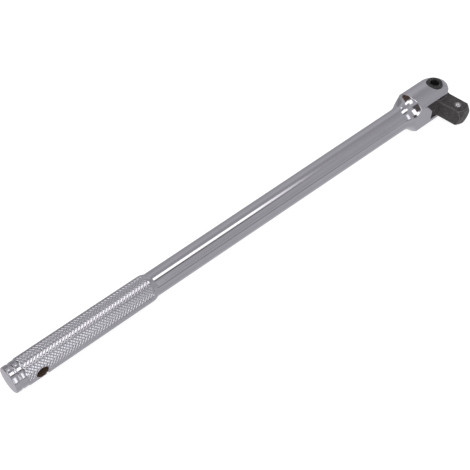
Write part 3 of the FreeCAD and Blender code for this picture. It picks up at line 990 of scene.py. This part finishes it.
def studio_light():
    """A soft studio: an even room that lights the floor, and grey cards and strip lights for the metal."""
    world = bpy.data.worlds.new("studio")
    bpy.context.scene.world = world
    world.use_nodes = True
    nodes = world.node_tree.nodes
    links = world.node_tree.links
    nodes.clear()
    output = nodes.new("ShaderNodeOutputWorld")
    place = nodes.new("ShaderNodeTexCoord")
    split = nodes.new("ShaderNodeSeparateXYZ")
    links.new(place.outputs["Generated"], split.inputs["Vector"])
    height = nodes.new("ShaderNodeMath")
    height.operation = "ARCTAN2"
    links.new(split.outputs["Z"], height.inputs[0])
    links.new(split.outputs["Y"], height.inputs[1])
    wrapped = nodes.new("ShaderNodeMath")
    wrapped.operation = "WRAP"
    wrapped.inputs[1].default_value = math.radians(STUDIO_SEAM + 360)
    wrapped.inputs[2].default_value = math.radians(STUDIO_SEAM)
    links.new(height.outputs["Value"], wrapped.inputs[0])
    round_bar = wrapped.outputs["Value"]
    cards = nodes.new("ShaderNodeValToRGB")
    seam = math.radians(STUDIO_SEAM)
    links.new(remapped(nodes, links, round_bar, seam, seam + math.radians(360), 0, 1), cards.inputs["Fac"])
    ramp = cards.color_ramp
    for index, (angle, level) in enumerate(STUDIO_BANDS):
        position = (angle - STUDIO_SEAM) / 360
        stop = ramp.elements[0] if index == 0 else ramp.elements.new(position)
        stop.position = position
        stop.color = (level * 0.985, level * 0.97, level * 1.02, 1)
    ramp.elements.remove(ramp.elements[len(STUDIO_BANDS)])

    colour = cards.outputs["Color"]
    for low, high, soft, along_low, along_high, along_soft, tint in STRIPS:
        colour = add_strip(nodes, links, round_bar, split.outputs["X"], colour,
                           (low, high, soft), (along_low, along_high, along_soft), tint)
    mirrored = nodes.new("ShaderNodeBackground")
    links.new(colour, mirrored.inputs["Color"])
    room = nodes.new("ShaderNodeBackground")
    room.inputs["Color"].default_value = (1, 1, 1, 1)
    room.inputs["Strength"].default_value = 1.0
    ray = nodes.new("ShaderNodeLightPath")
    choose = nodes.new("ShaderNodeMixShader")
    links.new(ray.outputs["Is Glossy Ray"], choose.inputs["Fac"])
    links.new(room.outputs["Background"], choose.inputs[1])
    links.new(mirrored.outputs["Background"], choose.inputs[2])
    links.new(choose.outputs["Shader"], output.inputs["Surface"])


def add_strip(nodes, links, height, along, behind, tall, wide, colour):
    """One card or strip light of the studio, laid over what is there."""
    mask = None
    edges = [(height, math.radians(tall[0]), math.radians(tall[2]), 1),
             (height, math.radians(tall[1]), math.radians(tall[2]), -1),
             (along, wide[0], wide[2], 1), (along, wide[1], wide[2], -1)]
    for value, middle, soft, sign in edges:
        edge = remapped(nodes, links, value, middle - sign * soft / 2, middle + sign * soft / 2, 0.0, 1.0)
        if mask is None:
            mask = edge
            continue
        product = nodes.new("ShaderNodeMath")
        product.operation = "MULTIPLY"
        links.new(mask, product.inputs[0])
        links.new(edge, product.inputs[1])
        mask = product.outputs["Value"]
    return blended(nodes, links, mask, behind, (*colour, 1))


def key_light():
    """One large soft light from the upper left, for a little shape in the dark steel."""
    light = bpy.data.lights.new("key", "AREA")
    light.shape = "DISK"
    light.size = 0.9
    light.energy = 4.5
    lamp = bpy.data.objects.new("key", light)
    bpy.context.scene.collection.objects.link(lamp)
    lamp.location = (-0.5, -0.4, 1.1)
    lamp.rotation_euler = (Vector((0, 0, 0)) - lamp.location).to_track_quat("-Z", "Y").to_euler()
    lamp.visible_glossy = False


def camera():
    """The camera: where it stands, what it aims at, how it is rolled and its lens."""
    place = Vector((-0.30335, -0.41925, 0.37026))
    aim = Vector((-0.01827, 0.00412, 0.010))
    roll = math.radians(-11.95)
    lens = bpy.data.cameras.new("camera")
    lens.lens = 76.345
    lens.sensor_width = 36.0
    frame_shift = 0.00106
    lens.shift_x = -frame_shift
    lens.shift_y = frame_shift
    lens.clip_start = 0.01
    taker = bpy.data.objects.new("camera", lens)
    bpy.context.scene.collection.objects.link(taker)
    turn = (aim - place).to_track_quat("-Z", "Y").to_matrix().to_4x4()
    taker.matrix_world = Matrix.Translation(place) @ turn @ Matrix.Rotation(roll, 4, "Z")
    bpy.context.scene.camera = taker


studio_floor()
studio_light()
key_light()
camera()
bpy.context.scene.view_settings.view_transform = "Standard"
